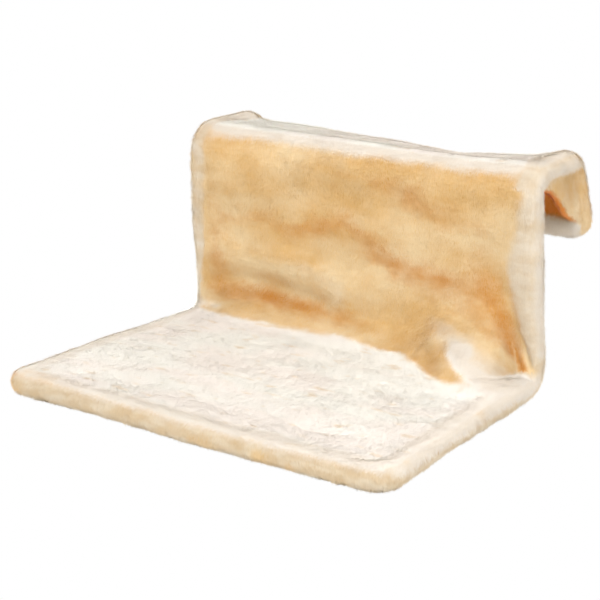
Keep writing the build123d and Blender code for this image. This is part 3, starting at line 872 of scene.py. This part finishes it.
def markPile(mesh, points, normals, rim):
    x, y, z = points.T
    onTop = smoothstep(normals[:, 2], *combing["onTop"])[:, None]
    flow = np.array(combing["flowTop"]) * onTop + np.array(combing["flowSide"]) * (1 - onTop)
    swirl, tuft = vectorNoise(points, combing["swirl"], 31), vectorNoise(points, combing["tuft"], 41)
    lean = flow + swirl * (0.45 - 0.25 * onTop) + tuft * (0.45 - 0.2 * onTop)
    lean -= normals * np.sum(lean * normals, axis=1, keepdims=True)
    store(mesh, "groundNormal", normals)
    store(mesh, "lean", lean)
    inner = (rim < 0.5) & (np.abs(x) < halfWidthAt(y, z) - combing["coveredIn"])
    down, rearward = inner & (normals[:, 2] < -combing["facing"]), inner & (normals[:, 1] > combing["facing"])
    under = down & (z < seatZ + 0.012) & (y < backY - 0.01)
    underTop = down & (z > topZ - 0.035) & (y > backY)
    behind = rearward & (y < backY + 0.01) & (z < topZ - 0.01)
    store(mesh, "pileDensity", np.where(under | behind | underTop, 0.0, pile["density"]))
    length = 1 + layeredNoise(points, combing["length"]) * (1 - combing["flatter"] * onTop[:, 0])
    creased = np.clip(creaseDepth(points, creases["side"]) / combing["creaseDepth"], 0, 1)
    store(mesh, "pileLength", length * (1 - combing["creased"] * creased))


# A strand is a slim curved blade of two faces, unit sized, that Geometry Nodes set on the ground
def strandShape():
    points = [(0, 0, 0), (1, -0.1, 0.42), (0, -0.38, 0.95), (-1, -0.1, 0.42)]
    made = newMesh("strandShape", points, [(0, 3, 1), (1, 3, 2)])
    store(made.data, "along", np.array([0.0, 0.45, 1.0, 0.45]))
    return made


def pileTree(strand, seed):
    graph, ground = newTree(f"pile{seed}")

    def named(name, kind="FLOAT"):
        return graph.node("GeometryNodeInputNamedAttribute", {"Name": name}, "Attribute", data_type=kind)

    def added(first, second):
        return graph.node("ShaderNodeVectorMath", {0: first, 1: second}, operation="ADD")

    def randomBetween(low, high, turn):
        values = {2: low, 3: high, "Seed": seed + turn}
        return graph.node("FunctionNodeRandomValue", values, 1, data_type="FLOAT")

    density = named("pileDensity") * ground.out("Number")
    values = {"Mesh": ground, "Density": density, "Seed": seed}
    points = graph.node("GeometryNodeDistributePointsOnFaces", values, "Points")
    values = {0: (-pile["jitter"],) * 3, 1: (pile["jitter"],) * 3, "Seed": seed + 50}
    jitter = graph.node("FunctionNodeRandomValue", values, data_type="FLOAT_VECTOR")
    normal = named("groundNormal", "FLOAT_VECTOR")
    way = added(added(normal, named("lean", "FLOAT_VECTOR")), jitter)
    turned = graph.node("FunctionNodeAlignRotationToVector", {"Vector": way}, axis="Z")
    values = {"Rotation": turned, "Vector": normal}
    turned = graph.node("FunctionNodeAlignRotationToVector", values, axis="Y", pivot_axis="Z")
    long = randomBetween(*pile["lengths"], 90) * named("pileLength") * pile["length"]
    size = graph.node("ShaderNodeCombineXYZ", {"X": pile["halfWidth"], "Y": long, "Z": long})
    shape = graph.node("GeometryNodeObjectInfo", {"Object": strand}, "Geometry")
    values = {"Points": points, "Instance": shape, "Rotation": turned, "Scale": size}
    strands = graph.node("GeometryNodeInstanceOnPoints", values)
    values = {"Geometry": strands, "Name": "strand", "Value": randomBetween(0, 1, 130)}
    strands = graph.node("GeometryNodeStoreNamedAttribute", values, data_type="FLOAT", domain="INSTANCE")
    return endTree(graph, strands, materials["plushStrand"])


# One layer of the pile over the whole cover
def pileLayer(name, ground, strand, seed, share):
    made = grow(newObject(name, ground.data.copy()), pileTree(strand, seed), share)
    points, gap = rowsOf(made.data.vertices, "co"), pile["floorGap"]
    eased = gap * np.exp(np.minimum(points[:, 2] / gap - 1, 0))
    points[:, 2] = np.where(points[:, 2] < gap, eased, points[:, 2])
    setPoints(made.data, points)
    normals = rowsOf(made.data.attributes["groundNormal"].data, "vector")
    made.data.normals_split_custom_set_from_vertices(normals)
    for unused in ("groundNormal", "lean", "pileDensity", "pileLength"):
        made.data.attributes.remove(made.data.attributes[unused])
    return made


addCamera()
coverPiece = plushCover()
coverMesh = coverPiece.data
coverPoints, coverNormals = rowsOf(coverMesh.vertices, "co"), rowsOf(coverMesh.vertex_normals, "vector")
coverRim = markTones(coverMesh, coverPoints, coverNormals)
markPile(coverMesh, coverPoints, coverNormals, coverRim)
print("cover", len(coverMesh.polygons))

density = rowsOf(coverMesh.attributes["pileDensity"].data, "value", 1).mean()
layers = int(np.ceil(rowsOf(coverMesh.polygons, "area", 1).sum() * density / pile["perPiece"]))
strand = strandShape()
pilePieces = [pileLayer(f"pileLayer{seed}", coverPiece, strand, seed, 1 / layers) for seed in range(layers)]
bpy.data.objects.remove(strand)
print("pile", layers, [len(piece.data.polygons) for piece in pilePieces])

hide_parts("seat_back_plush", "top_plush", "flap_plush", "flap_inner_panel")
for piece in [coverPiece, *pilePieces]:
    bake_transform(piece)


# Linings: plain cloth under the seat with the closure's tab, behind the back and under the top

lining = {"thickness": 0.0012, "depth": 0.008, "tuck": 0.0085, "columns": 130, "step": 0.004,
          "hem": (0.009, 0.0105), "hemRise": 0.0005, "pucker": 0.0006, "puckerCell": 0.045, "puckerIn": 0.03,
          "fine": 0.00025, "fineCell": 0.008, "tabFoot": 0.024, "bend": (-8, -90), "front": 0.012,
          "gap": 0.0005, "sagShares": (0.15, 0.8), "sagFree": 0.0085}


# Points on the way, at most a step apart, from places (y, z) and arcs (centre, radius, first and last angle)
def liningWay(*parts):
    corners = []
    for part in parts:
        if len(part) == 2:
            corners.append(np.array(part))
            continue
        centreY, centreZ, radius, first, last = part
        for angle in np.radians(np.linspace(first, last, 10)):
            corners.append(np.array((centreY + radius * cos(angle), centreZ + radius * sin(angle))))
    points = []
    for start, end in zip(corners, corners[1:]):
        count = max(int(norm(end - start) / lining["step"]), 1)
        points.extend(start + (end - start) * share for share in np.arange(count) / count)
    return np.array(points + [corners[-1]])


# A lining's outer face. Rows run so that the face looks down or to the rear
def liningGrid(way, seed, sag=None):
    across = np.linspace(-1, 1, lining["columns"])
    y, z = way[:, :1] + 0 * across, way[:, 1:] + 0 * across
    if sag is not None:
        z = z - sag(y, across)
    half = halfWidthAt(y, z) - lining["tuck"]
    grid = np.stack([across * half, y, z], axis=2)
    travelled = np.insert(np.cumsum(norm(np.diff(way, axis=0), axis=1)), 0, 0)[:, None]
    inside = np.minimum((1 - np.abs(across)) * half, np.minimum(travelled, travelled[-1] - travelled))
    lift = lining["hemRise"] * (1 - smoothstep(inside, *lining["hem"]))
    pucker = latticeNoise(grid, lining["puckerCell"], seed) * lining["pucker"]
    lift = lift + pucker * smoothstep(inside, 0, lining["puckerIn"])
    lift = lift + latticeNoise(grid, lining["fineCell"], seed + 1) * lining["fine"]
    return grid + gridNormals(grid) * lift[..., None]


def topLiningSag(y, across):
    share = np.interp(y, (topLow.y, topHigh.y), lining["sagShares"])
    hang = cover["topSag"] * share * np.interp(across, cover["sagPlaces"], cover["sagShares"])
    return np.maximum(hang - lining["sagFree"], 0)


liningZ = topZ - lining["depth"]
seatLiningWay = liningWay((tabHigh.y, tabHigh.z), (tabHigh.y, seatZ + lining["tabFoot"]),
                          (backY - bendRadius, seatZ + bendRadius, bendRadius + lining["depth"],
                           *lining["bend"]), (frontY + lining["front"], seatZ - lining["depth"]))
backLiningWay = liningWay((topLow.y - lining["gap"], liningZ),
                          (backY + bendRadius, topZ - bendRadius, bendRadius - lining["depth"], 90, 180),
                          (backY + lining["depth"], backLiningLow.z))
topLiningWay = liningWay((topHigh.y, liningZ), (topLow.y, liningZ))


def sheetPiece(name, node, grid):
    made = slabMesh(name, grid, lining["thickness"])
    made.data.materials.append(materials["wovenLining"])
    smoothShaded(made)
    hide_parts(node)
    return made


# Width and length that a lining was cut to, and its flat area
def flatSize(grid):
    width = (grid[:, -1, 0] - grid[:, 0, 0]).max()
    lengths = norm(np.diff(grid, axis=0), axis=2).sum(axis=0)
    sides = np.cross(np.diff(grid, axis=0)[:, :-1], np.diff(grid, axis=1)[:-1])
    return (width, lengths.max()), norm(sides, axis=2).sum()


# Stitches, set along each lining's edge by Geometry Nodes

stitch = {"length": 0.0032, "radius": 0.00032, "pitch": 0.0046, "inset": 0.0045, "proud": 0.0002, "around": 6,
          "rings": ((-0.5, 0.35), (-0.42, 0.85), (0.0, 1.0), (0.42, 0.85), (0.5, 0.35))}


def stitchShape():
    points, faces, around = [], [], stitch["around"]
    for along, wide in stitch["rings"]:
        for turn in range(around):
            angle = 2 * pi * turn / around
            radius = stitch["radius"] * wide
            points.append((radius * cos(angle), radius * sin(angle), stitch["length"] * along))
    for ring in range(len(stitch["rings"]) - 1):
        for turn in range(around):
            following = (turn + 1) % around
            low, high = ring * around, (ring + 1) * around
            faces.append((low + turn, low + following, high + following, high + turn))
    faces += [tuple(reversed(range(around))), tuple(range(len(points) - around, len(points)))]
    return newMesh("stitchShape", points, faces)


# A line of edges round a lining, a little way in from its border
def stitchLine(grid):
    rowStep, columnStep = norm(grid[1, 0] - grid[0, 0]), norm(grid[0, 1] - grid[0, 0])
    grid = grid + gridNormals(grid) * stitch["proud"]
    row = max(round(stitch["inset"] / rowStep), 1)
    column = max(round(stitch["inset"] / columnStep), 1)
    return borderOf(grid[row:-row, column:-column])


def stitchTree(shape):
    graph, ground = newTree("stitches")
    line = graph.node("GeometryNodeMeshToCurve", {"Mesh": ground})
    values = {"Curve": line, "Length": ground.out("Number")}
    points = graph.node("GeometryNodeCurveToPoints", values, "Points", mode="LENGTH")
    turned = graph.node("FunctionNodeAlignRotationToVector", {"Vector": points.out("Tangent")}, axis="Z")
    piece = graph.node("GeometryNodeObjectInfo", {"Object": shape}, "Geometry")
    values = {"Points": points, "Instance": piece, "Rotation": turned}
    return endTree(graph, graph.node("GeometryNodeInstanceOnPoints", values), materials["sewingThread"])


def stitchPiece(name, grids):
    points, edges = [], []
    for grid in grids:
        line, start = stitchLine(grid), len(points)
        points.extend(line)
        edges.extend((start + index, start + (index + 1) % len(line)) for index in range(len(line)))
    shape = stitchShape()
    made = grow(newMesh(name, points, [], edges=edges), stitchTree(shape), stitch["pitch"])
    bpy.data.objects.remove(shape)
    smoothShaded(made)
    return made


seatGrid, backGrid = liningGrid(seatLiningWay, 71), liningGrid(backLiningWay, 73)
topGrid = liningGrid(topLiningWay, 75, topLiningSag)
seatLining = sheetPiece("seatLining", "seat_lining", seatGrid)
backLining = sheetPiece("backLining", "back_lining", backGrid)
topLining = sheetPiece("topLining", "top_lining", topGrid)
bedStitches = stitchPiece("bedStitches", (seatGrid, backGrid))
topStitches = stitchPiece("topStitches", (topGrid,))
print("stitches", len(bedStitches.data.polygons), len(topStitches.data.polygons))
for piece in (seatLining, backLining, bedStitches):
    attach(piece, "bed")
for piece in (topLining, topStitches):
    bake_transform(piece)
for piece, grid, stitches in ((seatLining, seatGrid, bedStitches), (backLining, backGrid, bedStitches),
                              (topLining, topGrid, topStitches)):
    flat, area = flatSize(grid)
    print("sheet", piece.name, [round(size, 3) for size in flat], round(area, 4))


# Finishes of the frame, its fasteners and the closure, whose shapes stay as they are

finishes = {
    "powderCoat": ("seat_frame_tube", "left_side_tube", "right_side_tube", "top_crossbar", "hook_lock_nuts"),
    "zincPlate": ("hook_frame_tube", "seat_joint_screws", "seat_joint_nuts", "hook_lock_screws"),
    "closureTape": ("closure_loop_strip", "closure_hook_strip"),
}
for finish, names in finishes.items():
    for name in names:
        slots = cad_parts[name].data.materials
        slots.clear()
        slots.append(materials[finish])
print("finishes", len(finishes))


# Light and floor

# Each as (place, size, power)
lights = {"keyLight": ((0.4, -1.0, 2.3), 2.2, 36.0), "topLight": ((0.1, 0.0, 2.5), 2.0, 18.5),
          "leftLight": ((-1.6, -1.4, 1.2), 2.0, 8.0), "rightLight": ((1.8, -0.7, 0.9), 1.6, 6.0)}
lightAim = Vector((0, 0, 0.08))
worldLight = 0.85
floorHalf = 4


def addLight(name, place, size, power):
    data = bpy.data.lights.new(name, "AREA")
    data.size, data.energy = size, power
    turn = (lightAim - Vector(place)).to_track_quat("-Z", "Y")
    newObject(name, data).matrix_world = Matrix.LocRotScale(Vector(place), turn, None)


def addSurroundings():
    world = bpy.data.worlds.new("studio")
    bpy.context.scene.world = world
    world.use_nodes = True
    graph = Graph(world.node_tree)
    soft = graph.node("ShaderNodeBackground", {"Color": (1, 1, 1, 1), "Strength": worldLight})
    white = graph.node("ShaderNodeBackground", {"Color": (1, 1, 1, 1), "Strength": 1.0})
    graph.node("ShaderNodeOutputWorld", {"Surface": whiteToCamera(graph, soft, white)})
    for name, settings in lights.items():
        addLight(name, *settings)
    corners = [(x * floorHalf, y * floorHalf, 0) for x, y in ((-1, -1), (1, -1), (1, 1), (-1, 1))]
    floor = newMesh("floor", corners, [(0, 1, 2, 3)], materials["whiteFloor"])
    bpy.context.scene.view_settings.view_transform = "Standard"
    print("lights", len(lights))


addSurroundings()
